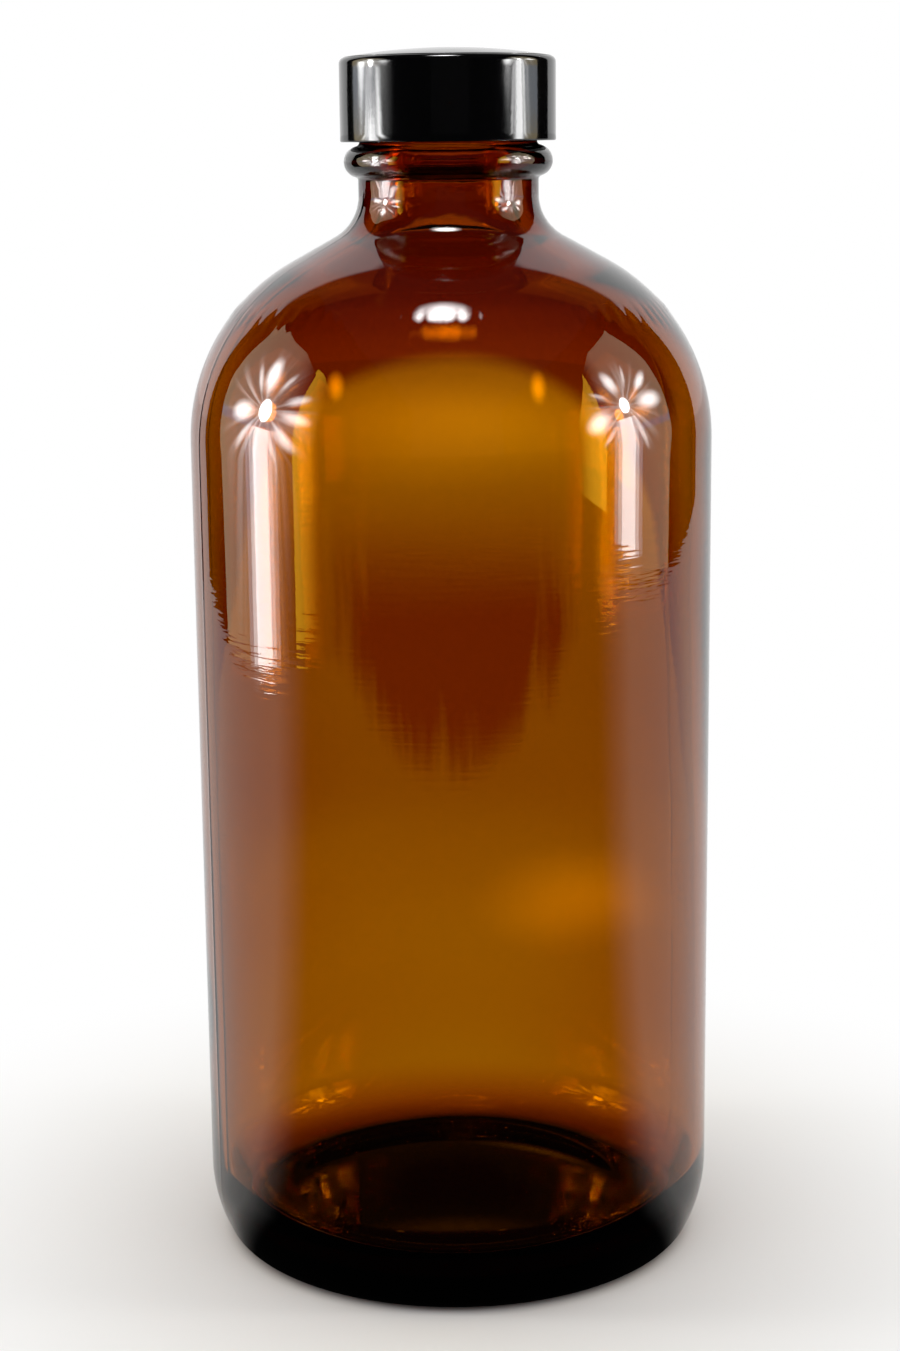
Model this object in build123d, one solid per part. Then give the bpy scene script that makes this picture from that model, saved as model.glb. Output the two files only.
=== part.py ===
from build123d import *

import os
from math import asin, cos, degrees, radians, sin, sqrt

# A round-shouldered glass bottle with a continuous-thread neck finish and a lined, domed screw cap.
# Millimetres, +Z up. The origin is the centre of the ring that the bottle stands on.
# Each separate piece of the object is one node, written to parts/NODE.step.

# Bottle body, outside
BODY_RADIUS = 37.25
RIM_HEIGHT = 169.0
SHOULDER_START = 118.85
SHOULDER_RADIUS = 28.6
SHOULDER_TURN = 61.2  # degrees from the upright wall to the straight cone under the neck
NECK_RADIUS = 12.7
NECK_FILLET = 6.6

# Heel: a tight arc on the base runs into a wide arc on the wall
HEEL_TIGHT_RADIUS = 3.6
HEEL_WIDE_RADIUS = 19.6
HEEL_WIDE_TURN = 27.0  # degrees

# Base
BEARING_RING_WIDTH = 2.8
PUSH_UP = 2.6

# Inside of the glass
WALL = 2.2
INNER_SHOULDER_RADIUS = 24.5  # less than concentric, so the glass thickens towards the neck
FLOOR_CENTRE = 6.3
FLOOR_DOME_RADIUS = 160.0
INNER_HEEL_RADIUS = 9.0
BORE_RADIUS = 9.0
INNER_NECK_FILLET = 9.0

# Neck finish: 28 mm size, six turns to the inch. Angles along a thread are counted from the glass thread's low end
FINISH_RADIUS = 12.5
THREAD_PITCH = 25.4 / 6
THREAD_FOOT = 161.7  # middle of the glass thread at angle 0
THREAD_ANGLE = 390.0
THREAD_CREST_RADIUS = 13.65
THREAD_ROOT_WIDTH = 2.4
THREAD_CREST_WIDTH = 1.1
BEAD_HEIGHT = 157.75
BEAD_SECTION_RADIUS = 2.2
BEAD_ROOT_FILLET = 0.5
RIM_OUTER_ROUND = 1.0
RIM_INNER_ROUND = 1.3

# Cap shell
CAP_RADIUS = 15.15
CAP_BOTTOM = 160.45
CAP_EDGE_HEIGHT = 171.9
CAP_DOME_RISE = 1.35
CAP_EDGE_ROUND = 0.9
CAP_LIP_ROUND = 0.25
CAP_BORE_RADIUS = 14.0
CAP_THREAD_DROP = 1.46  # from the middle of the glass thread down to the middle of the cap thread
CAP_THREAD_START = 115.0
CAP_THREAD_ANGLE = 420.0
CAP_THREAD_CREST_RADIUS = 12.85
CAP_THREAD_ROOT_WIDTH = 1.9
CAP_THREAD_CREST_WIDTH = 0.8

# Cap liner: a resilient board faced with a thin film
FACING_THICKNESS = 0.15
BOARD_THICKNESS = 1.2
LINER_RADIUS = 13.75

# Threads are lofted through sections at this step, and fade out over this angle at each end
THREAD_SECTION_STEP = 15.0
THREAD_FADE = 45.0
THREAD_BURIED = 0.5  # how far a thread's root reaches into its wall


def shoulder_cone_length(body_radius, arc_radius, fillet_radius, neck_radius):
    """Length of the straight cone that joins the shoulder arc to the neck fillet."""
    turn = radians(SHOULDER_TURN)
    drop_in = body_radius - neck_radius - (arc_radius + fillet_radius) * (1 - cos(turn))
    return drop_in / sin(turn)


def shoulder_edges(wall_top, arc_radius, fillet_radius, neck_radius):
    """Shoulder arc, cone and neck fillet, from the top of an upright wall to the start of an upright neck."""
    arc = JernArc(start=wall_top, tangent=(0, 1), radius=arc_radius, arc_size=SHOULDER_TURN)
    cone_length = shoulder_cone_length(wall_top[0], arc_radius, fillet_radius, neck_radius)
    cone = Line(arc @ 1, (arc @ 1) + (arc % 1) * cone_length)
    fillet_arc = JernArc(start=cone @ 1, tangent=cone % 1, radius=fillet_radius, arc_size=-SHOULDER_TURN)
    return [arc, cone, fillet_arc]


def outer_edges():
    """Outside of the glass in the XZ half-plane, from the middle of the base to the outer corner of the rim."""
    wide = radians(HEEL_WIDE_TURN)
    ring_outer = BODY_RADIUS - HEEL_WIDE_RADIUS + (HEEL_WIDE_RADIUS - HEEL_TIGHT_RADIUS) * cos(wide)
    ring_inner = ring_outer - BEARING_RING_WIDTH
    dome_radius = (ring_inner**2 + PUSH_UP**2) / (2 * PUSH_UP)
    dome = JernArc(
        start=(0, PUSH_UP),
        tangent=(1, 0),
        radius=dome_radius,
        arc_size=-degrees(asin(ring_inner / dome_radius)),
    )
    ring = Line((ring_inner, 0), (ring_outer, 0))
    tight = JernArc(start=ring @ 1, tangent=(1, 0), radius=HEEL_TIGHT_RADIUS, arc_size=90 - HEEL_WIDE_TURN)
    heel = JernArc(start=tight @ 1, tangent=tight % 1, radius=HEEL_WIDE_RADIUS, arc_size=HEEL_WIDE_TURN)
    wall = Line(heel @ 1, (BODY_RADIUS, SHOULDER_START))
    shoulder = shoulder_edges((BODY_RADIUS, SHOULDER_START), SHOULDER_RADIUS, NECK_FILLET, NECK_RADIUS)
    bead_foot = BEAD_HEIGHT - sqrt(BEAD_SECTION_RADIUS**2 - (NECK_RADIUS - FINISH_RADIUS) ** 2)
    neck = Line(shoulder[-1] @ 1, (NECK_RADIUS, bead_foot))
    bead = ThreePointArc(
        (NECK_RADIUS, bead_foot),
        (FINISH_RADIUS + BEAD_SECTION_RADIUS, BEAD_HEIGHT),
        (FINISH_RADIUS, BEAD_HEIGHT + BEAD_SECTION_RADIUS),
    )
    finish = Line(bead @ 1, (FINISH_RADIUS, RIM_HEIGHT))
    return [dome, ring, tight, heel, wall, *shoulder, neck, bead, finish]


def inner_edges():
    """Inside of the glass in the XZ half-plane, from the middle of the floor to the inner corner of the rim."""
    inner_radius = BODY_RADIUS - WALL
    slope = asin((inner_radius - INNER_HEEL_RADIUS) / (FLOOR_DOME_RADIUS + INNER_HEEL_RADIUS))
    floor = JernArc(
        start=(0, FLOOR_CENTRE),
        tangent=(1, 0),
        radius=FLOOR_DOME_RADIUS,
        arc_size=-degrees(slope),
    )
    heel = JernArc(
        start=floor @ 1,
        tangent=floor % 1,
        radius=INNER_HEEL_RADIUS,
        arc_size=90 + degrees(slope),
    )
    wall = Line(heel @ 1, (inner_radius, SHOULDER_START))
    shoulder = shoulder_edges(
        (inner_radius, SHOULDER_START), INNER_SHOULDER_RADIUS, INNER_NECK_FILLET, BORE_RADIUS
    )
    bore = Line(shoulder[-1] @ 1, (BORE_RADIUS, RIM_HEIGHT))
    return [floor, heel, wall, *shoulder, bore]


def corner(face, x, y):
    """The vertex of a profile nearest to a point."""
    return min(face.vertices(), key=lambda v: (v.X - x) ** 2 + (v.Y - y) ** 2)


def lathe(profile):
    """Solid of revolution about +Z from a profile drawn with X as radius and Y as height."""
    return revolve(Plane.XZ * profile, axis=Axis.Z)


def fade(along, length):
    """Share of a thread's full height at an angle along it: 0 at each end, 1 over its middle."""
    t = min(1.0, along / THREAD_FADE, (length - along) / THREAD_FADE)
    return t * t * (3 - 2 * t)


def thread(foot, start, length, wall_radius, crest_radius, root_width, crest_width):
    """Right-handed ridge on a round wall, outside it or inside it; foot is its middle height at angle 0."""
    side = 1 if crest_radius > wall_radius else -1
    root = wall_radius - side * THREAD_BURIED
    count = round(length / THREAD_SECTION_STEP)
    sections = []
    for i in range(count + 1):
        along = length * i / count
        share = fade(along, length)
        crest = crest_radius + (root - crest_radius) * 0.75 * (1 - share)
        half_root = root_width / 2 * (0.55 + 0.45 * share)
        half_crest = crest_width / 2 * (0.55 + 0.45 * share)
        turn = radians(start + along)
        plane = Plane(
            origin=(0, 0, foot + THREAD_PITCH * (start + along) / 360),
            x_dir=(cos(turn), sin(turn), 0),
            z_dir=(sin(turn), -cos(turn), 0),
        )
        outline = Polyline(
            (root, -half_root), (crest, -half_crest), (crest, half_crest), (root, half_root), close=True
        )
        sections.append(plane * make_face(outline))
    return loft(sections)


def glass_bottle():
    """The blown glass: body, base, shoulder, neck, bead and threaded finish in one piece."""
    outer, inner = outer_edges(), inner_edges()
    rim = Line(outer[-1] @ 1, inner[-1] @ 1)
    axis = Line(outer[0] @ 0, inner[0] @ 0)
    profile = make_face([*outer, rim, *inner, axis])
    bead_foot = outer[-2] @ 0
    bead_top = outer[-2] @ 1
    profile = fillet(corner(profile, bead_foot.X, bead_foot.Y), BEAD_ROOT_FILLET)
    profile = fillet(corner(profile, bead_top.X, bead_top.Y), BEAD_ROOT_FILLET)
    profile = fillet(corner(profile, FINISH_RADIUS, RIM_HEIGHT), RIM_OUTER_ROUND)
    profile = fillet(corner(profile, BORE_RADIUS, RIM_HEIGHT), RIM_INNER_ROUND)
    glass_thread = thread(
        THREAD_FOOT,
        0.0,
        THREAD_ANGLE,
        FINISH_RADIUS,
        THREAD_CREST_RADIUS,
        THREAD_ROOT_WIDTH,
        THREAD_CREST_WIDTH,
    )
    return lathe(profile) + glass_thread


def screw_cap():
    """The moulded cap: plain skirt, domed top and an internal thread."""
    dome_radius = (CAP_RADIUS**2 + CAP_DOME_RISE**2) / (2 * CAP_DOME_RISE)
    dome = JernArc(
        start=(0, CAP_EDGE_HEIGHT + CAP_DOME_RISE),
        tangent=(1, 0),
        radius=dome_radius,
        arc_size=-degrees(asin(CAP_RADIUS / dome_radius)),
    )
    ceiling = RIM_HEIGHT + FACING_THICKNESS + BOARD_THICKNESS
    rest = Polyline(
        dome @ 1,
        (CAP_RADIUS, CAP_BOTTOM),
        (CAP_BORE_RADIUS, CAP_BOTTOM),
        (CAP_BORE_RADIUS, ceiling),
        (0, ceiling),
        dome @ 0,
    )
    profile = make_face([dome, rest])
    profile = fillet(corner(profile, CAP_RADIUS, CAP_EDGE_HEIGHT), CAP_EDGE_ROUND)
    profile = fillet(corner(profile, CAP_RADIUS, CAP_BOTTOM), CAP_LIP_ROUND)
    profile = fillet(corner(profile, CAP_BORE_RADIUS, CAP_BOTTOM), CAP_LIP_ROUND)
    cap_thread = thread(
        THREAD_FOOT - CAP_THREAD_DROP,
        CAP_THREAD_START,
        CAP_THREAD_ANGLE,
        CAP_BORE_RADIUS,
        CAP_THREAD_CREST_RADIUS,
        CAP_THREAD_ROOT_WIDTH,
        CAP_THREAD_CREST_WIDTH,
    )
    return lathe(profile) + cap_thread


def disc(radius, bottom, thickness):
    """Round disc lying level."""
    return Pos(0, 0, bottom) * Cylinder(radius, thickness, align=(Align.CENTER, Align.CENTER, Align.MIN))


def main():
    nodes = {
        "glass_bottle": glass_bottle(),
        "screw_cap": screw_cap(),
        "liner_facing": disc(LINER_RADIUS, RIM_HEIGHT, FACING_THICKNESS),
        "liner_board": disc(LINER_RADIUS, RIM_HEIGHT + FACING_THICKNESS, BOARD_THICKNESS),
    }
    os.makedirs("parts", exist_ok=True)
    for name, shape in nodes.items():
        export_step(shape, f"parts/{name}.step")
        print(name, "volume", round(shape.volume), "mm3, solids", len(shape.solids()))


main()
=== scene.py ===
from math import asin, cos, pi, radians, sin, sqrt

import bmesh
import bpy
import numpy as np
from mathutils import Matrix


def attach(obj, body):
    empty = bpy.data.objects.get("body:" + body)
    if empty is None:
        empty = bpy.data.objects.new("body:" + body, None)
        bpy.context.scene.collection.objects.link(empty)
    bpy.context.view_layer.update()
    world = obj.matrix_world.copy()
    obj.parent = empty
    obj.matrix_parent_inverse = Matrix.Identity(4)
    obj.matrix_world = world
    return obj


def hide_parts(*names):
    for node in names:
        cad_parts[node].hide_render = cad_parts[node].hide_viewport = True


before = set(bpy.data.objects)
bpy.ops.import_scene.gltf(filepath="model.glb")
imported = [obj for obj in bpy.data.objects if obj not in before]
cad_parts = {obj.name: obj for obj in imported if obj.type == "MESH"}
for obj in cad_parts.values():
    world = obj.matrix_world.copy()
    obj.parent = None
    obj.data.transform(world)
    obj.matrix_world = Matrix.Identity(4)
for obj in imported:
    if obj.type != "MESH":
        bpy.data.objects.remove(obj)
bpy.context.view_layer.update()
MM = 0.001

# ---------------------------------------------------------------- sizes, mm, the same as the CAD model's
BODY_R, RIM_Z = 37.25, 169.0
SHOULDER_Z, SHOULDER_R, SHOULDER_TURN = 118.85, 28.6, radians(61.2)
NECK_R, NECK_FILLET = 12.7, 6.6
HEEL_TIGHT, HEEL_WIDE, HEEL_TURN = 3.6, 19.6, radians(27.0)
RING_W, PUSH_UP = 2.8, 2.6
WALL, FLOOR_Z, FLOOR_R, INNER_HEEL = 2.2, 6.3, 160.0, 9.0
INNER_SHOULDER_R = 24.5
BORE_R, INNER_FILLET = 9.0, 9.0
FINISH_R, PITCH, THREAD_FOOT, THREAD_ANGLE = 12.5, 25.4 / 6, 161.7, 390.0
THREAD_CREST, THREAD_ROOT_W, THREAD_CREST_W = 13.65, 2.4, 1.1
BEAD_Z, BEAD_R, BEAD_FILLET = 157.75, 2.2, 0.5
RIM_OUT, RIM_IN = 1.0, 1.3
CAP_R, CAP_Z, CAP_EDGE_Z, CAP_DOME, CAP_ROUND, CAP_LIP = 15.15, 160.45, 171.9, 1.35, 0.9, 0.25
CAP_BORE, CAP_DROP, CAP_START, CAP_ANGLE = 14.0, 1.46, 115.0, 420.0
CAP_CREST, CAP_ROOT_W, CAP_CREST_W = 12.85, 1.9, 0.8
FACING_T, BOARD_T, LINER_R = 0.15, 1.2, 13.75
THREAD_FADE = 45.0

# ---------------------------------------------------------------- fine detail, mm and degrees
TRIM = 0.99945  # keeps the round mesh inside the box of the faceted CAD model
SEAMS, SEAM_WIDTH, SEAM_HEIGHT, SEAM_BLUR = (20.0, 200.0), 0.8, 0.07, 0.2
SEAM_BODY, SEAM_NECK = (78, 74), (150, 6)  # middle height and half length of a seam's two stretches
NOTCHES, NOTCH_DEPTH = 80, 0.16
PLATE_MARK_R, PLATE_MARK_W, PLATE_MARK_H = 21.0, 0.9, 0.16
# waves of the inside surface: depth, waves round the bottle, phase, and twist in radians a mm
SLANTED_WAVES = [(0.10, 2, 0.6, 0.021), (0.07, 3, 2.1, -0.034), (0.05, 5, 0.3, 0.05)]
# and level ones: depth, radians a mm, and the size, number round the bottle and phase of their sway
LEVEL_WAVES = [(0.06, 0.11, 1.3, 1, 0.5), (0.035, 0.29, 2.0, 2, 1.0)]
CALM_RIM, CALM_BORE, CALM_FLOOR = 4, 20, 12  # the waves die out towards the rim and the floor
PRESSED, PRESS_SPREAD = 0.08, 0.5  # depth of the rim's print in the liner, and its spread past the rim
DISC_MIDDLE, DISC_ROUND = 0.5, 0.1  # radius of the liner's innermost ring of points, and its edge's easing


# ---------------------------------------------------------------- profiles
def arc(centre, radius, start, end, count):
    """Points along an arc in the (radius, height) half-plane, angles in radians."""
    t = np.linspace(start, end, count)
    return np.c_[centre[0] + radius * np.cos(t), centre[1] + radius * np.sin(t)]


def line(a, b, count):
    """Evenly spaced points from a to b."""
    t = np.linspace(0, 1, count)[:, None]
    return np.array(a) * (1 - t) + np.array(b) * t


def join(parts):
    """One run of points with no repeats."""
    pts = np.vstack(parts)
    keep = np.r_[True, np.hypot(*np.diff(pts, axis=0).T) > 1e-4]
    return pts[keep]


def shoulder(wall_r, arc_r, fillet_r, neck_r, count):
    """Shoulder arc, cone and neck fillet, from the upright wall to the start of the neck."""
    a = SHOULDER_TURN
    first = arc((wall_r - arc_r, SHOULDER_Z), arc_r, 0, a, count)
    length = (wall_r - neck_r - (arc_r + fillet_r) * (1 - cos(a))) / sin(a)
    foot = first[-1] + length * np.array([-sin(a), cos(a)])
    centre = foot + fillet_r * np.array([cos(a), sin(a)])
    return [first, line(first[-1], foot, 7), arc(centre, fillet_r, pi + a, pi, count // 2)]


def outer_profile():
    """Outside of the glass, from the middle of the base to the inner corner of the rim."""
    ring_out = BODY_R - HEEL_WIDE + (HEEL_WIDE - HEEL_TIGHT) * cos(HEEL_TURN)
    ring_in = ring_out - RING_W
    dome_r = (ring_in**2 + PUSH_UP**2) / (2 * PUSH_UP)
    heel_z = HEEL_TIGHT + (HEEL_WIDE - HEEL_TIGHT) * sin(HEEL_TURN)
    upper = shoulder(BODY_R, SHOULDER_R, NECK_FILLET, NECK_R, 36)
    grown = BEAD_R + BEAD_FILLET
    low = (NECK_R + BEAD_FILLET, BEAD_Z - sqrt(grown**2 - (NECK_R + BEAD_FILLET - FINISH_R) ** 2))
    high = (FINISH_R + BEAD_FILLET, BEAD_Z + sqrt(grown**2 - BEAD_FILLET**2))
    low_turn = asin((BEAD_Z - low[1]) / grown)
    high_turn = asin((high[1] - BEAD_Z) / grown)
    return join([
        arc((0, PUSH_UP - dome_r), dome_r, pi / 2, pi / 2 - asin(ring_in / dome_r), 46),
        line((ring_in, 0), (ring_out, 0), 6),
        arc((ring_out, HEEL_TIGHT), HEEL_TIGHT, -pi / 2, -HEEL_TURN, 12),
        arc((BODY_R - HEEL_WIDE, heel_z), HEEL_WIDE, -HEEL_TURN, 0, 12),
        line((BODY_R, heel_z), (BODY_R, SHOULDER_Z), 24),
        *upper,
        line(upper[-1][-1], (NECK_R, low[1]), 3),
        arc(low, BEAD_FILLET, pi, pi - low_turn, 5),
        arc((FINISH_R, BEAD_Z), BEAD_R, -low_turn, high_turn, 18),
        arc(high, BEAD_FILLET, pi + high_turn, pi, 5),
        line((FINISH_R, high[1]), (FINISH_R, RIM_Z - RIM_OUT), 42),
        arc((FINISH_R - RIM_OUT, RIM_Z - RIM_OUT), RIM_OUT, 0, pi / 2, 7),
        arc((BORE_R + RIM_IN, RIM_Z - RIM_IN), RIM_IN, pi / 2, pi, 8),
    ])


def inner_profile():
    """Inside of the glass, from the bore under the rim down to the middle of the floor."""
    inner = BODY_R - WALL
    slope = asin((inner - INNER_HEEL) / (FLOOR_R + INNER_HEEL))
    heel = (inner - INNER_HEEL, FLOOR_Z - FLOOR_R + (FLOOR_R + INNER_HEEL) * cos(slope))
    upper = shoulder(inner, INNER_SHOULDER_R, INNER_FILLET, BORE_R, 30)
    up = join([
        arc((0, FLOOR_Z - FLOOR_R), FLOOR_R, pi / 2, pi / 2 - slope, 18),
        arc(heel, INNER_HEEL, -pi / 2 - slope, 0, 18),
        line((inner, heel[1]), (inner, SHOULDER_Z), 40),
        *upper,
        line(upper[-1][-1], (BORE_R, RIM_Z - RIM_IN), 12),
    ])
    return up[::-1]


def ridge(angle, z, foot, start, length, root_w, crest_w):
    """Height share, 0 to 1, of a right-handed thread at an angle in degrees and a height in mm."""
    share = np.zeros(np.broadcast(angle, z).shape)
    for turn in range(3):
        along = angle + 360 * turn - start
        inside = (along > 0) & (along < length)
        fade = np.clip(np.minimum(along, length - along) / THREAD_FADE, 0, 1)
        fade = fade * fade * (3 - 2 * fade)
        off = np.abs(z - foot - PITCH * (start + along) / 360)
        slope = np.clip((root_w / 2 - off) / ((root_w - crest_w) / 2), 0, 1)
        slope = slope * slope * (3 - 2 * slope)
        share = np.maximum(share, np.where(inside, fade * slope, 0))
    return share


def lathe_mesh(name, angle, radius, height):
    """Closed smooth mesh from grids of radius and height: a row per profile point, a column per angle."""
    rows, cols = radius.shape
    verts = np.stack([radius * np.cos(angle), radius * np.sin(angle), height], -1).reshape(-1, 3) * MM
    verts = verts.tolist()
    faces = []
    for i in range(rows - 1):
        a, b = i * cols, (i + 1) * cols
        for j in range(cols):
            k = (j + 1) % cols
            faces.append((a + j, a + k, b + k, b + j))
    for row in (0, rows - 1):
        tip = len(verts)
        verts.append((0, 0, float(height[row].mean()) * MM))
        for j in range(cols):
            k = (j + 1) % cols
            pair = (row * cols + j, row * cols + k)
            faces.append((*pair, tip) if row else (*pair[::-1], tip))
    mesh = bpy.data.meshes.new(name)
    mesh.from_pydata(verts, [], faces)
    mesh.validate()
    bm = bmesh.new()
    bm.from_mesh(mesh)
    if bm.calc_volume(signed=True) < 0:
        bmesh.ops.reverse_faces(bm, faces=bm.faces[:])
    bm.to_mesh(mesh)
    bm.free()
    for poly in mesh.polygons:
        poly.use_smooth = True
    piece = bpy.data.objects.new(name, mesh)
    bpy.context.scene.collection.objects.link(piece)
    return piece


def grids(profile, angle):
    """Radius and height of every vertex of a plain turned shape."""
    spread = np.zeros(len(angle))
    return profile[:, :1] + spread, profile[:, 1:] + spread


def hump(offset, half_width):
    """Smooth bump, 1 in the middle and 0 from half_width outwards."""
    t = np.clip(1 - np.abs(offset) / half_width, 0, 1)
    return t * t * (3 - 2 * t)


# ---------------------------------------------------------------- the bottle
def bottle_angles(count=232):
    """Even angles, with a closer set across each mould seam."""
    even = np.arange(count) * 2 * pi / count
    close = [radians(seam + step) for seam in SEAMS for step in (-1.2, -0.6, -0.3, 0.0, 0.3, 0.6, 1.2)]
    far = [min(abs((a - c + pi) % (2 * pi) - pi) for c in close) > radians(0.5) for a in even]
    return np.sort(np.r_[even[far], close])


def make_bottle():
    """Glass with its thread, mould seams, notched standing ring, mark under the base and uneven inside."""
    outer, inner = outer_profile()[1:], inner_profile()[:-1]
    angle = bottle_angles()
    deg = np.degrees(angle)
    r, z = grids(outer, angle)
    crest = ridge(deg, z, THREAD_FOOT, 0.0, THREAD_ANGLE, THREAD_ROOT_W, THREAD_CREST_W)
    on_finish = (z > BEAD_Z + BEAD_R) & (r > FINISH_R - 0.01)
    r = r + np.where(on_finish, crest * (THREAD_CREST - FINISH_R), 0)
    seam = sum(hump((deg - s) * pi / 180 * r, SEAM_WIDTH / 2 + SEAM_BLUR) for s in SEAMS)
    on_wall = hump(z - SEAM_BODY[0], SEAM_BODY[1]) ** 0.25 + hump(z - SEAM_NECK[0], SEAM_NECK[1])
    r = r * TRIM + SEAM_HEIGHT * seam * np.clip(on_wall, 0, 1)
    ring_mid = np.median(outer[(outer[:, 1] < 1e-6), 0])
    z = z + NOTCH_DEPTH * hump(outer[:, :1] - ring_mid, RING_W * 0.6) * np.clip(np.cos(NOTCHES * angle), 0, 1)
    under = (z < PUSH_UP + 0.1) & (r < ring_mid - RING_W)
    z = z + np.where(under, PLATE_MARK_H * hump(r - PLATE_MARK_R, PLATE_MARK_W), 0)
    ri, zi = grids(inner, angle)
    wave = 0
    for depth, count, phase, twist in SLANTED_WAVES:
        wave = wave + depth * np.sin(count * angle + phase + zi * twist)
    for depth, rate, sway, count, phase in LEVEL_WAVES:
        wave = wave + depth * np.sin(zi * rate + sway * np.sin(count * angle + phase))
    calm = np.clip((RIM_Z - CALM_RIM - zi) / CALM_BORE, 0, 1) * np.clip(zi / CALM_FLOOR, 0, 1)
    ri = ri + wave * calm * np.clip(ri / BODY_R, 0.2, 1)
    return lathe_mesh("bottle_glass", angle, np.vstack([r, ri]), np.vstack([z, zi]))


def make_cap(cols=192):
    """Cap shell with its domed top and inside thread."""
    dome_r = (CAP_R**2 + CAP_DOME**2) / (2 * CAP_DOME)
    turn = asin((CAP_R - CAP_ROUND * 0.72) / dome_r)
    dome = arc((0, CAP_EDGE_Z + CAP_DOME - dome_r), dome_r, pi / 2, pi / 2 - turn, 22)[1:]
    edge = dome[-1]
    ceiling = RIM_Z + FACING_T + BOARD_T
    start = pi / 2 - turn
    centre = (CAP_R - CAP_ROUND, edge[1] - CAP_ROUND * sin(start))
    profile = join([
        dome,
        arc(centre, CAP_ROUND, start, 0, 10),
        line((CAP_R, centre[1]), (CAP_R, CAP_Z + CAP_LIP), 14),
        arc((CAP_R - CAP_LIP, CAP_Z + CAP_LIP), CAP_LIP, 0, -pi / 2, 5),
        arc((CAP_BORE + CAP_LIP, CAP_Z + CAP_LIP), CAP_LIP, -pi / 2, -pi, 5),
        line((CAP_BORE, CAP_Z + CAP_LIP), (CAP_BORE, ceiling), 60),
        line((CAP_BORE, ceiling), (0.6, ceiling), 8),
    ])
    angle = np.arange(cols) * 2 * pi / cols
    r, z = grids(profile, angle)
    crest = ridge(np.degrees(angle), z, THREAD_FOOT - CAP_DROP, CAP_START, CAP_ANGLE, CAP_ROOT_W, CAP_CREST_W)
    in_bore = (np.abs(r - CAP_BORE) < 0.02) & (z < ceiling - 0.05)
    r = r - np.where(in_bore, crest * (CAP_BORE - CAP_CREST), 0)
    return lathe_mesh("cap_shell", angle, r * TRIM, z)


def make_liner(name, bottom, thickness, pressed_above, cols=96):
    """Liner disc with the shallow ring that the bottle's rim has pressed into it."""
    rim_mid, rim_half = (BORE_R + FINISH_R) / 2, (FINISH_R - BORE_R) / 2 + PRESS_SPREAD
    across = np.linspace(DISC_MIDDLE, LINER_R - DISC_ROUND, 40)
    dent = PRESSED * hump(across - rim_mid, rim_half)
    low = np.c_[across, bottom + dent]
    eased = DISC_ROUND / 2
    edge = [(LINER_R, bottom + eased), (LINER_R, bottom + thickness - eased)]
    high = np.c_[across, bottom + thickness + dent * pressed_above][::-1]
    angle = np.arange(cols) * 2 * pi / cols
    return lathe_mesh(name, angle, *grids(np.vstack([low, edge, high]), angle))


bottle = make_bottle()
cap = make_cap()
facing = make_liner("liner_film", RIM_Z, FACING_T, True)
board = make_liner("liner_pulp_board", RIM_Z + FACING_T, BOARD_T, False)


# ---------------------------------------------------------------- node graphs
WHITE = (1, 1, 1)


def rgba(colour):
    """A colour of three numbers with its fourth added; sockets are passed on as they are."""
    return (*colour, 1) if isinstance(colour, tuple) else colour


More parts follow.
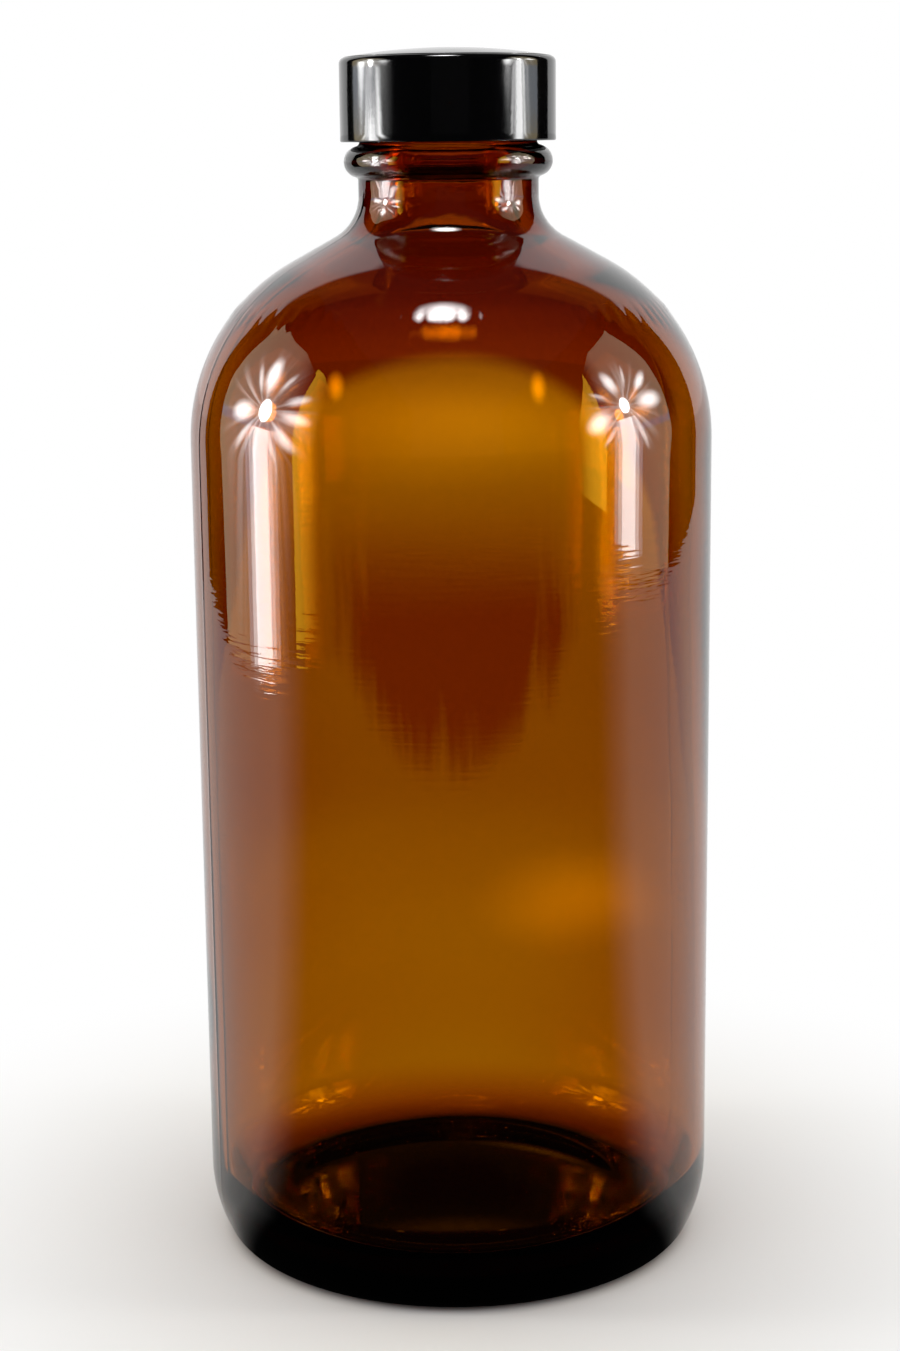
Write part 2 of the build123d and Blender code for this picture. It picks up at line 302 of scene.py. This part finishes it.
class Graph:
    """The nodes of one material or world. Most methods take sockets or numbers and give back a socket."""

    def __init__(self, tree):
        self.nodes, self.links = tree.nodes, tree.links

    def put(self, socket, value):
        """Link a socket to an input, or set the input to a plain value."""
        if isinstance(value, bpy.types.NodeSocket):
            self.links.new(value, socket)
        else:
            socket.default_value = value

    def fill(self, node, inputs):
        """Give a node several inputs, by name or by place in its list."""
        for key, value in inputs.items():
            self.put(node.inputs[key], value)

    def add(self, kind, inputs, **settings):
        """A new node with its settings and inputs."""
        node = self.nodes.new(f"ShaderNode{kind}")
        for key, value in settings.items():
            setattr(node, key, value)
        self.fill(node, inputs)
        return node

    def math(self, operation, a, b=0.0):
        return self.add("Math", {0: a, 1: b}, operation=operation).outputs[0]

    def plus(self, a, b):
        return self.math("ADD", a, b)

    def minus(self, a, b):
        return self.math("SUBTRACT", a, b)

    def most(self, a, b):
        return self.math("MAXIMUM", a, b)

    def times(self, first, *others):
        for other in others:
            first = self.math("MULTIPLY", first, other)
        return first

    def rest(self, share):
        return self.minus(1.0, share)

    def rising(self, value, low, high):
        """A smooth step from 0 at low to 1 at high."""
        ends = {"Value": value, "From Min": low, "From Max": high}
        return self.add("MapRange", ends, interpolation_type="SMOOTHSTEP").outputs[0]

    def falling(self, value, low, high):
        return self.rest(self.rising(value, low, high))

    def between(self, share, low, high):
        """A value that runs evenly from low to high as the share goes from 0 to 1."""
        return self.add("MapRange", {"Value": share, "To Min": low, "To Max": high}).outputs[0]

    def place(self):
        """Position in the piece's own coordinates, in metres."""
        return self.add("TexCoord", {}).outputs["Object"]

    def xyz(self, vector):
        return self.add("SeparateXYZ", {0: vector}).outputs

    def vector(self, operation, *terms):
        return self.add("VectorMath", dict(enumerate(terms)), operation=operation).outputs["Vector"]

    def length(self, vector):
        return self.add("VectorMath", {0: vector}, operation="LENGTH").outputs["Value"]

    def heights(self, low, high, soft):
        """1 between two heights of the piece, in mm, with soft ends."""
        z = self.xyz(self.place())["Z"]
        start = self.rising(z, (low - soft) * MM, (low + soft) * MM)
        return self.minus(start, self.rising(z, (high - soft) * MM, (high + soft) * MM))

    def noise(self, size_mm, stretch=(1, 1, 1), detail=2.0, seed=0.0):
        """Soft noise in patches of about size_mm, stretched along each axis of the piece."""
        scale = [1 / (size_mm * MM * s) for s in stretch]
        shifted = {"Vector": self.place(), "Location": (seed, seed * 0.7, seed * 1.3), "Scale": scale}
        texture = {"Vector": self.add("Mapping", shifted).outputs[0], "Scale": 1.0, "Detail": detail}
        return self.add("TexNoise", texture).outputs["Fac"]

    def bump(self, height, depth_mm, normal=None):
        """Surface detail whose full height is depth_mm, on top of any other."""
        node = self.add("Bump", {"Strength": 1.0, "Distance": depth_mm * MM, "Height": height})
        if normal is not None:
            self.put(node.inputs["Normal"], normal)
        return node.outputs[0]

    def colours(self, share, first, second):
        """The first colour turning into the second as the share goes from 0 to 1."""
        first_slot, second_slot = 6, 7  # the node's colour inputs; it has others of the same name
        inputs = {"Factor": share, first_slot: rgba(first), second_slot: rgba(second)}
        return self.add("Mix", inputs, data_type="RGBA").outputs[2]

    def emission(self, strength, colour=WHITE):
        return self.add("Emission", {"Color": rgba(colour), "Strength": strength}).outputs[0]

    def clear(self, colour=WHITE):
        return self.add("BsdfTransparent", {"Color": rgba(colour)}).outputs[0]

    def mixed(self, share, first, second):
        return self.add("MixShader", {0: share, 1: first, 2: second}).outputs[0]

    def summed(self, first, second):
        return self.add("AddShader", {0: first, 1: second}).outputs[0]


# ---------------------------------------------------------------- materials
# the glass takes up GLASS_DENSITY x (1 - GLASS_COLOUR) of each colour a metre
GLASS_COLOUR, GLASS_DENSITY, GLASS_IOR = (0.902, 0.772, 0.0), 2000, 1.52
# where the glass has each kind of unevenness: lowest and highest height and softness of the ends, mm
WAVE_ZONE, PEBBLE_ZONE, RIPPLE_ZONE = (-40, 124, 8.0), (149.5, 160.2, 1.5), (72, 106, 6.0)
WAVE_DEPTH, PEBBLE_DEPTH, RIPPLE_DEPTH = 0.007, 0.06, 0.014
CAP_DARK, CAP_LIGHT = (0.0006, 0.0006, 0.0007), (0.0018, 0.0018, 0.0021)
CAP_GLOSS, CAP_IOR = (0.04, 0.14), 1.6
BOARD_DARK, BOARD_LIGHT, BOARD_FLECK = (0.42, 0.34, 0.24), (0.66, 0.57, 0.44), (0.26, 0.20, 0.14)
FILM_WHITE, FILM_YELLOW, FILM_GLOSS = (0.86, 0.84, 0.76), (0.70, 0.64, 0.50), (0.22, 0.45)


def new_material(name):
    """A material, its graph and its Principled shader."""
    mat = bpy.data.materials.new(name)
    mat.use_nodes = True
    return mat, Graph(mat.node_tree), mat.node_tree.nodes["Principled BSDF"]


def glass_material():
    """Amber glass, coloured by depth: slow waves and fine ripples down the body, a pebbled neck and bead."""
    mat, g, bsdf = new_material("amber_glass")
    waves = g.times(g.noise(9, (2.2, 2.2, 0.6), 1.0, 3.0), g.heights(*WAVE_ZONE))
    pebbles = g.times(g.noise(2.6, detail=1.0, seed=7.0), g.heights(*PEBBLE_ZONE))
    ripples = g.times(g.noise(3.0, (4, 4, 0.3), 2.0, 11.0), g.heights(*RIPPLE_ZONE))
    normal = g.bump(pebbles, PEBBLE_DEPTH, g.bump(waves, WAVE_DEPTH))
    normal = g.bump(ripples, RIPPLE_DEPTH, normal)
    g.fill(bsdf, {"Base Color": rgba(WHITE), "Transmission Weight": 1, "IOR": GLASS_IOR, "Roughness": 0.0,
                  "Normal": normal})
    absorption = g.add("VolumeAbsorption", {"Color": rgba(GLASS_COLOUR), "Density": GLASS_DENSITY})
    g.put(g.nodes["Material Output"].inputs["Volume"], absorption.outputs[0])
    return mat


def cap_material():
    """Polished black phenolic: faint flow marks in its gloss and fine handling marks."""
    mat, g, bsdf = new_material("black_phenolic")
    grain = g.noise(0.9, detail=3.0, seed=2.0)
    flow = g.noise(4.5, (1, 1, 1.6), 3.0, 5.0)
    uneven = g.bump(g.noise(3.0, (1, 1, 3), 1.0, 9.0), 0.022)
    handled = g.bump(g.noise(0.5, (1, 1, 1.5), 2.0, 4.0), 0.0035, uneven)
    g.fill(bsdf, {"Base Color": g.colours(grain, CAP_DARK, CAP_LIGHT),
                  "Roughness": g.between(flow, *CAP_GLOSS), "IOR": CAP_IOR, "Normal": handled})
    return mat


def board_material():
    """Grey-brown pulp board with fibres and flecks."""
    mat, g, bsdf = new_material("pulp_board")
    fibre = g.noise(0.5, (6, 1, 1), 4.0, 1.0)
    fleck = g.rising(g.noise(0.8, seed=6.0), 0.58, 0.70)
    colour = g.colours(fleck, g.colours(fibre, BOARD_DARK, BOARD_LIGHT), BOARD_FLECK)
    g.fill(bsdf, {"Base Color": colour, "Roughness": 0.9, "Normal": g.bump(fibre, 0.05)})
    return mat


def film_material():
    """White facing film: slightly yellowed in cloudy patches, with a soft sheen."""
    mat, g, bsdf = new_material("facing_film")
    cloud = g.noise(5, detail=3.0, seed=8.0)
    normal = g.bump(g.noise(0.7, seed=3.0), 0.012)
    g.fill(bsdf, {"Base Color": g.colours(cloud, FILM_WHITE, FILM_YELLOW),
                  "Roughness": g.between(cloud, *FILM_GLOSS), "Normal": normal})
    return mat


for piece, material, node, body, slot in (
    (bottle, glass_material(), "glass_bottle", "bottle", "amber_glass"),
    (cap, cap_material(), "screw_cap", "cap", "cap_moulding"),
    (facing, film_material(), "liner_facing", "liner", "liner_facing"),
    (board, board_material(), "liner_board", "liner", "liner_board"),
):
    piece.data.materials.append(material)
    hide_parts(node)
    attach(piece, body)


# ---------------------------------------------------------------- stage sizes, metres
# Ranges that tell rays apart by what they have met: a reflection, more surfaces of glass than one wall has,
# and more than two walls have, as through the base.
REFLECTED, CROSSED, DEEP = (0.2, 0.8), (2.5, 3.5), (4.2, 5.8)

TABLE_HALF, TABLE_Z = 20, -1e-5
# painted shadow: the table is painted dark under the base
UNDER_BASE = (0.031, 0.036)  # the table is dark closer to the axis than this
# painted light: through glass the table's glow comes up closer to the base, over the paper's shade there
GLOW_NEAR, GLOW_FAR = (0.032, 0.046), (0.034, 0.12)  # where its glow comes up, through glass and otherwise
# range of Y over distance where painted shade falls dark for rays reflected before, and its darkness for all
# reflections
FRONT_DARK, FRONT_LEAST = (-0.02, -0.48), 0.2
# the paper's colour, and the glow level of the table's painted shade
TABLE_PAPER, TABLE_DARK = (0.8, 0.8, 0.8), 0.004

BACK_EDGE, UPWARD = (0.555, 0.60), (0.0, 0.15)  # ranges of a direction's Y, where the back starts, and Z
DARK_STUDIO, INNER_DIM = 0.02, 0.92  # level of the dark part, and share taken off inner reflections

# The sheet behind the bottle with its painted shadow: heights, and distances from its middle, over which each
# part comes and goes.
SHADE_X, SHADE_Y, SHADE_HALF, SHADE_TOP = -0.001, 0.12, 0.12, 0.20
# the painted shadow's colour, and the distances from the middle over which it fades at the sides
SHADE_TINT, SHADE_SIDES = (0.40, 0.04, 0.02), (0.050, 0.095)
WIDE_FOOT, WIDE_TOP, WIDE_SHARE = (0.010, 0.040), (0.070, 0.105), 0.42
TONGUE_TIP, TONGUE_LENGTH, TONGUE_HALF, TONGUE_POWER = 0.036, 0.030, 0.0235, 0.6
TONGUE_EDGE, TONGUE_FOOT, TONGUE_TOP, TONGUE_SHARE = (-0.006, 0.005), (0.031, 0.052), (0.070, 0.100), 0.46
STREAK_SIDEWAYS, STREAK_UPRIGHT = 0.016, 0.03
UPPER_ARCH, UPPER_FOOT, UPPER_TOP, UPPER_SHARE = 16.4, (0.1250, 0.1335), (0.165, 0.198), 0.9
# each painted glow of light on the sheet, two wide ones and two small glints: centre x and z, half width, half
# height, level
BACKDROP_PAINTED_GLOWS = [(0.028, 0.013, 0.028, 0.0125, 0.5), (0.0, 0.110, 0.045, 0.018, 0.5),
                  (-0.0244, 0.1204, 0.0024, 0.0060, 2.2), (0.0180, 0.1204, 0.0024, 0.0060, 2.2)]

PANEL_LEVEL, PANEL_COLOUR, PANEL_FADE = 1.6, (1.0, 0.84, 0.54), 0.15
# the stretch of the panels that the cap reflects: lowest and highest height and softness of the ends, mm
COOL_COLOUR, COOL_ZONE = (0.80, 0.88, 1.0), (165, 190, 6)
GOLD_LEVEL, GOLD_COLOUR, GOLD_FADE, GOLD_BACK = 5.5, (1.0, 0.58, 0.03), 0.13, 0.001
# each layer of a lamp's bright column: width as a share of the column's, level
COLUMN_LAYERS, COLUMN_GAP, COLUMN_STEP = [(1.7, 2.6), (1.25, 6), (0.8, 13)], 0.055, 0.002
PETAL_GROW, PETAL_FORWARD, PETAL_STEP, PETAL_INNER = 1.3, 0.0075, 0.0003, 0.1
# discs on the bulb: part, half sizes, distance before the panel, level, inner share of the radius, streaks
BULB_DISCS = [("rays", (0.27, 0.27), 0.0070, 7.0, 0.0, True),
              ("hub", (0.060, 0.060), 0.0115, 2.0, 0.3, False),
              ("bulb", (0.030, 0.038), 0.012, 70, 0.75, False)]
RAY_SCALE, RAY_STEP, RAY_LEAST = 4.5, (0.44, 0.66), 0.12
DISC_SIDES = 32
FACING_SIDE = Matrix(((0, 0, 1, 0), (1, 0, 0, 0), (0, 1, 0, 0), (0, 0, 0, 1)))  # turns a disc to face along X
OVERHEAD_PLACE, OVERHEAD_HALF, OVERHEAD_LEVEL = (-0.018, -0.085, 0.60), (0.095, 0.075), 40

CARD_Z, CARD_TOP = 1e-4, 0.8
# black sheets that show only in reflections, painting dark reflections beside the lamps
BLACK_CARDS = [("card_left", -0.46, -1.5, 0.42), ("card_right", 0.61, -1.5, 0.55)]  # part, x, both ends' y

LENS, SENSOR, NEAREST = 68.53, 36, 0.01  # lens and sensor in mm
CAMERA_PLACE = (0, -0.36836, 0.16099)
CAMERA_DOWN, CAMERA_PAN, CAMERA_ROLL = radians(11.82), radians(0.08), radians(-0.6)


# ---------------------------------------------------------------- stage, lights and camera
def plane(name, corners, mat, hidden_from=()):
    """A flat stage piece with the given corners, hidden from the named kinds of ray."""
    mesh = bpy.data.meshes.new(name)
    mesh.from_pydata(corners, [], [tuple(range(len(corners)))])
    obj = bpy.data.objects.new(name, mesh)
    obj.data.materials.append(mat)
    bpy.context.scene.collection.objects.link(obj)
    for kind in hidden_from:
        setattr(obj, f"visible_{kind}", False)
    return obj


def stage_material(name, sampled=True):
    """An empty material, its graph and its surface input. Cycles aims light rays only at sampled ones."""
    mat = bpy.data.materials.new(name)
    mat.use_nodes = True
    mat.node_tree.nodes.clear()
    if not sampled:
        mat.cycles.emission_sampling = "NONE"
    g = Graph(mat.node_tree)
    return mat, g, g.add("OutputMaterial", {}).inputs["Surface"]


def ray_history(g):
    """The Light Path outputs, and whether a ray was reflected, crossed a wall, or came through the base."""
    path = g.add("LightPath", {}).outputs
    reflected = g.rising(path["Glossy Depth"], *REFLECTED)
    crossed = g.rising(path["Transmission Depth"], *CROSSED)
    deep = g.rising(path["Transmission Depth"], *DEEP)
    return path, reflected, crossed, deep


def seen_straight(g):
    """1 for rays that came straight through the glass without a reflection."""
    path = g.add("LightPath", {}).outputs
    return g.times(path["Is Transmission Ray"], g.math("LESS_THAN", path["Glossy Depth"], 0.5))


def lamp_material(name, strength, colour=WHITE, soft=None, cool=None):
    """Light that shows in reflections, on the glass or inside it, but not straight through the bottle.

    It comes up over the range of Y called soft, and turns to COOL_COLOUR in the zone of heights called cool.
    """
    mat, g, surface = stage_material(name)
    if soft:
        strength = g.times(g.rising(g.xyz(g.place())["Y"], *soft), strength)
    if cool:
        colour = g.colours(g.heights(*cool), colour, COOL_COLOUR)
    g.put(surface, g.mixed(seen_straight(g), g.emission(strength, colour), g.clear()))
    return mat


def spot_material(name, strength, inner, streaks=False):
    """Light on a unit disc that fades from the inner share of its radius to the rim; streaks add fine rays."""
    mat, g, surface = stage_material(name, sampled=False)
    level = g.falling(g.length(g.place()), inner, 1.0)
    if streaks:
        around = {"Vector": g.vector("NORMALIZE", g.place()), "Scale": RAY_SCALE, "Detail": 3.0}
        rays = g.rising(g.add("TexNoise", around).outputs["Fac"], *RAY_STEP)
        level = g.times(level, g.plus(rays, RAY_LEAST))
    level = g.times(level, strength, g.rest(seen_straight(g)))
    g.put(surface, g.summed(g.clear(), g.emission(level)))
    return mat


def floor_material():
    """Pale table: paper near the bottle, an even glow further out, and a painted glow nearer it through glass.

    It is dark with painted shade under the base (a painted shadow), in front for reflections, for rays that
    came through more glass than two walls, and for those that were reflected and came through more than one.
    """
    mat, g, surface = stage_material("floor_pale", sampled=False)
    path, reflected, crossed, deep = ray_history(g)
    distance = g.length(g.place())
    # painted light: seen through glass, the glow comes up closer to the base
    near = g.times(g.rising(distance, *GLOW_NEAR), path["Is Transmission Ray"])
    glowing = g.most(g.rising(distance, *GLOW_FAR), near)
    # painted shade: a shadow under the base, darkness in front for reflections, and darkness for rays through
    # the base or reflected inside the glass
    painted_base_shadow = g.falling(distance, *UNDER_BASE)
    front = g.rising(g.xyz(g.vector("NORMALIZE", g.place()))["Y"], *FRONT_DARK)
    front = g.times(g.most(g.times(front, reflected), FRONT_LEAST), path["Is Glossy Ray"])
    painted_base_darkness = g.times(g.most(deep, g.times(crossed, reflected)), path["Is Transmission Ray"])
    painted_shade = g.most(front, g.most(painted_base_shadow, painted_base_darkness))
    paper = g.add("BsdfDiffuse", {"Color": rgba(TABLE_PAPER)}).outputs[0]
    lit = g.mixed(glowing, paper, g.emission(1.0))
    g.put(surface, g.mixed(painted_shade, lit, g.emission(TABLE_DARK)))
    return mat


def studio_world():
    """White to the camera, to diffuse rays and through the walls; dark with a pale back to outer reflections.

    It is dim to rays reflected inside the glass that leave upwards or through a further wall, and black to
    those that came through more glass than two walls.
    """
    world = bpy.data.worlds.new("studio")
    bpy.context.scene.world = world
    world.use_nodes = True
    g = Graph(world.node_tree)
    direction = g.xyz(g.add("TexCoord", {}).outputs["Generated"])
    path, reflected, crossed, deep = ray_history(g)
    crossed = g.times(crossed, path["Is Transmission Ray"])
    behind = g.rising(direction["Y"], *BACK_EDGE)
    pale = g.most(g.times(behind, g.rest(crossed)), DARK_STUDIO)
    dimmed = g.times(reflected, g.most(g.rising(direction["Z"], *UPWARD), crossed), INNER_DIM)
    through = g.times(g.rest(g.most(dimmed, deep)), path["Is Transmission Ray"])
    plain = g.most(g.most(path["Is Camera Ray"], path["Is Diffuse Ray"]), through)
    g.fill(world.node_tree.nodes["Background"], {"Color": rgba(WHITE), "Strength": g.most(plain, pale)})


def painted_backdrop_material():
    """Clear sheet with a painted amber shadow and painted glows of light, which shows only through the bottle.

    The painted shadow has a wide part, a streaky tongue that narrows to its tip at the foot, and an arched
    upper part.
    """
    mat, g, surface = stage_material("backdrop_painted_shadow", sampled=False)
    axes = g.xyz(g.place())
    x, z = axes["X"], axes["Z"]
    # painted shade: the wide part, the streaky tongue and the arched upper part of the painted shadow
    wide = g.times(g.rising(z, *WIDE_FOOT), g.falling(z, *WIDE_TOP))

    rise = g.math("DIVIDE", g.minus(z, TONGUE_TIP), TONGUE_LENGTH)
    rise = g.math("MINIMUM", g.most(rise, 0.0), 1.0)
    half_width = g.times(g.math("POWER", rise, TONGUE_POWER), TONGUE_HALF)
    streaks = g.minus(g.noise(3.0, (1, 1, 12), 2.0, 5.0), 0.5)
    outside = g.minus(g.math("ABSOLUTE", g.minus(x, SHADE_X)), half_width)
    outside = g.plus(outside, g.times(streaks, STREAK_SIDEWAYS))
    ragged = g.plus(z, g.times(streaks, STREAK_UPRIGHT))
    tongue = g.times(g.falling(outside, *TONGUE_EDGE), g.falling(z, *TONGUE_TOP))
    tongue = g.times(tongue, g.rising(ragged, *TONGUE_FOOT))

    arched = g.plus(z, g.times(x, x, UPPER_ARCH))
    upper = g.times(g.rising(arched, *UPPER_FOOT), g.falling(z, *UPPER_TOP))
    share = g.plus(g.times(wide, WIDE_SHARE), g.times(tongue, TONGUE_SHARE))
    share = g.plus(share, g.times(upper, UPPER_SHARE))
    share = g.times(share, g.falling(g.math("ABSOLUTE", x), *SHADE_SIDES))

    # painted light: glows on the sheet that stand in for glints and light seen through the glass
    total = 0.0
    for centre_x, centre_z, half_x, half_z, level in BACKDROP_PAINTED_GLOWS:
        shift = g.vector("SUBTRACT", g.place(), (centre_x, SHADE_Y, centre_z))
        distance = g.length(g.vector("DIVIDE", shift, (half_x, 1, half_z)))
        total = g.plus(total, g.times(g.falling(distance, 0.0, 1.0), level))
    tinted = g.clear(g.colours(share, WHITE, SHADE_TINT))
    g.put(surface, g.summed(tinted, g.emission(total)))
    return mat


def spot(name, mat, matrix):
    """A unit disc placed by a matrix, which shows only in reflections on the object or inside it."""
    turns = [2 * pi * i / DISC_SIDES for i in range(DISC_SIDES)]
    disc = plane(name, [(cos(t), sin(t), 0) for t in turns], mat, ("camera", "diffuse", "shadow"))
    disc.matrix_world = matrix


def lamp(side, distance, panel, gold, column, foot, bulb, petals):
    """A soft side panel with an umbrella lamp in it, on a plane of constant X.

    Outlines and places are (y, z). The gold strip beside the panel lights only the glass, and the column runs
    from foot up to the lamp. Each petal has a direction, a distance from the bulb, half sizes and a level.
    """
    label = "right" if side > 0 else "left"

    def patch(part, outline, forward, strength, colour=WHITE, soft=None, cool=None):
        x = side * (distance - forward)
        name = f"lamp_{label}_{part}"
        mat = lamp_material(name, strength, colour, soft, cool)
        return plane(name, [(x, y, z) for y, z in outline], mat, ("camera", "shadow"))

    def glow(part, centre, half_sizes, turn, forward, strength, inner, streaks=False):
        name = f"lamp_{label}_{part}"
        place = Matrix.Translation((side * (distance - forward), *centre)) @ Matrix.Rotation(turn, 4, "X")
        size = Matrix.Diagonal((1, *half_sizes, 1))
        spot(name, spot_material(name, strength, inner, streaks), place @ size @ FACING_SIDE)

    front = panel[0][0]
    patch("panel", panel, 0, PANEL_LEVEL, PANEL_COLOUR, (front, front + PANEL_FADE), COOL_ZONE)
    front = gold[0][0]
    strip = patch("warm", gold, -GOLD_BACK, GOLD_LEVEL, GOLD_COLOUR, (front, front + GOLD_FADE))
    strip.light_linking.receiver_collection = glass_only

    y, z = bulb
    middle, half = (column[0] + column[1]) / 2, (column[1] - column[0]) / 2
    top = z - COLUMN_GAP
    for k, (wide, strength) in enumerate(COLUMN_LAYERS):
        y0, y1 = middle - half * wide, middle + half * wide
        patch(f"column_{k}", [(y0, foot), (y1, foot), (y1, top), (y0, top)], COLUMN_STEP * (k + 1), strength)
    for k, (turn, reach, half_length, half_width, strength) in enumerate(petals):
        turn = radians(turn)
        centre = (y + reach * cos(turn), z + reach * sin(turn))
        half_sizes = (half_length * PETAL_GROW, half_width * PETAL_GROW)
        glow(f"petal_{k}", centre, half_sizes, turn, PETAL_FORWARD + PETAL_STEP * k, strength, PETAL_INNER)
    for part, half_sizes, forward, strength, inner, streaks in BULB_DISCS:
        glow(part, bulb, half_sizes, 0, forward, strength, inner, streaks)


def level_sheet(half, z):
    """Corners of a level square."""
    return [(-half, -half, z), (half, -half, z), (half, half, z), (-half, half, z)]


plane("floor", level_sheet(TABLE_HALF, TABLE_Z), floor_material())
# painted dark reflections: black sheets seen only in reflections
black, black_graph, black_surface = stage_material("black_card")
black_graph.put(black_surface, black_graph.emission(0.0))
for name, x, y0, y1 in BLACK_CARDS:
    corners = [(x, y0, CARD_Z), (x, y1, CARD_Z), (x, y1, CARD_TOP), (x, y0, CARD_TOP)]
    plane(name, corners, black, ("camera", "diffuse", "transmission", "shadow"))
glass_only = bpy.data.collections.new("glass_only")
glass_only.objects.link(bottle)
lamp(
    side=-1, distance=0.45, column=(-0.067, 0.02), foot=0.004, bulb=(-0.022, 0.223),
    panel=[(-0.17, 0.004), (0.20, 0.004), (0.25, 0.26), (0.21, 0.51), (-0.05, 0.50), (-0.17, 0.44)],
    gold=[(-0.30, 0.004), (-0.16, 0.004), (-0.16, 0.47), (-0.20, 0.47), (-0.30, 0.40)],
    petals=[(72, 0.125, 0.066, 0.036, 20), (178, 0.140, 0.072, 0.026, 15), (216, 0.125, 0.066, 0.026, 14),
            (150, 0.150, 0.060, 0.020, 13), (-12, 0.110, 0.060, 0.030, 16), (112, 0.13, 0.05, 0.012, 9),
            (45, 0.12, 0.055, 0.012, 9), (-45, 0.12, 0.055, 0.014, 7), (244, 0.13, 0.05, 0.012, 7)],
)
lamp(
    side=1, distance=0.60, column=(-0.155, -0.055), foot=0.015, bulb=(-0.087, 0.283),
    panel=[(-0.24, 0.004), (0.17, 0.004), (0.20, 0.13), (0.20, 0.42), (0.14, 0.66), (-0.10, 0.64),
           (-0.24, 0.55)],
    gold=[(-0.44, 0.022), (-0.23, 0.022), (-0.23, 0.56), (-0.40, 0.30)],
    petals=[(-6, 0.160, 0.085, 0.036, 16), (103, 0.135, 0.070, 0.034, 18), (193, 0.180, 0.085, 0.056, 18),
            (24, 0.170, 0.060, 0.024, 14), (60, 0.14, 0.06, 0.012, 9), (-62, 0.15, 0.07, 0.014, 8),
            (145, 0.16, 0.06, 0.014, 9), (225, 0.17, 0.06, 0.014, 8)],
)
# the clear sheet that shows the painted shadow and painted glows through the bottle
sheet = [(x, SHADE_Y, z) for x, z in ((-SHADE_HALF, CARD_Z), (SHADE_HALF, CARD_Z), (SHADE_HALF, SHADE_TOP),
                                      (-SHADE_HALF, SHADE_TOP))]
plane("backdrop_painted_shadow", sheet, painted_backdrop_material(), ("camera", "diffuse", "glossy", "shadow"))
overhead = Matrix.Translation(OVERHEAD_PLACE) @ Matrix.Diagonal((*OVERHEAD_HALF, 1, 1))
spot("overhead_lamp", spot_material("overhead_lamp", OVERHEAD_LEVEL, 0.0), overhead)
studio_world()

camera = bpy.data.objects.new("camera", bpy.data.cameras.new("camera"))
bpy.context.scene.collection.objects.link(camera)
camera.data.lens = LENS
camera.data.sensor_width = SENSOR
camera.data.clip_start = NEAREST
tilted = Matrix.Rotation(CAMERA_PAN, 4, "Z") @ Matrix.Rotation(pi / 2 - CAMERA_DOWN, 4, "X")
rolled = tilted @ Matrix.Rotation(CAMERA_ROLL, 4, "Z")
camera.matrix_world = Matrix.Translation(CAMERA_PLACE) @ rolled
bpy.context.scene.camera = camera

view = bpy.context.scene.view_settings
view.view_transform = "Standard"
cycles = bpy.context.scene.cycles
cycles.max_bounces = 32
cycles.transmission_bounces = 24
cycles.glossy_bounces = 12
cycles.diffuse_bounces = 3
cycles.use_denoising = True
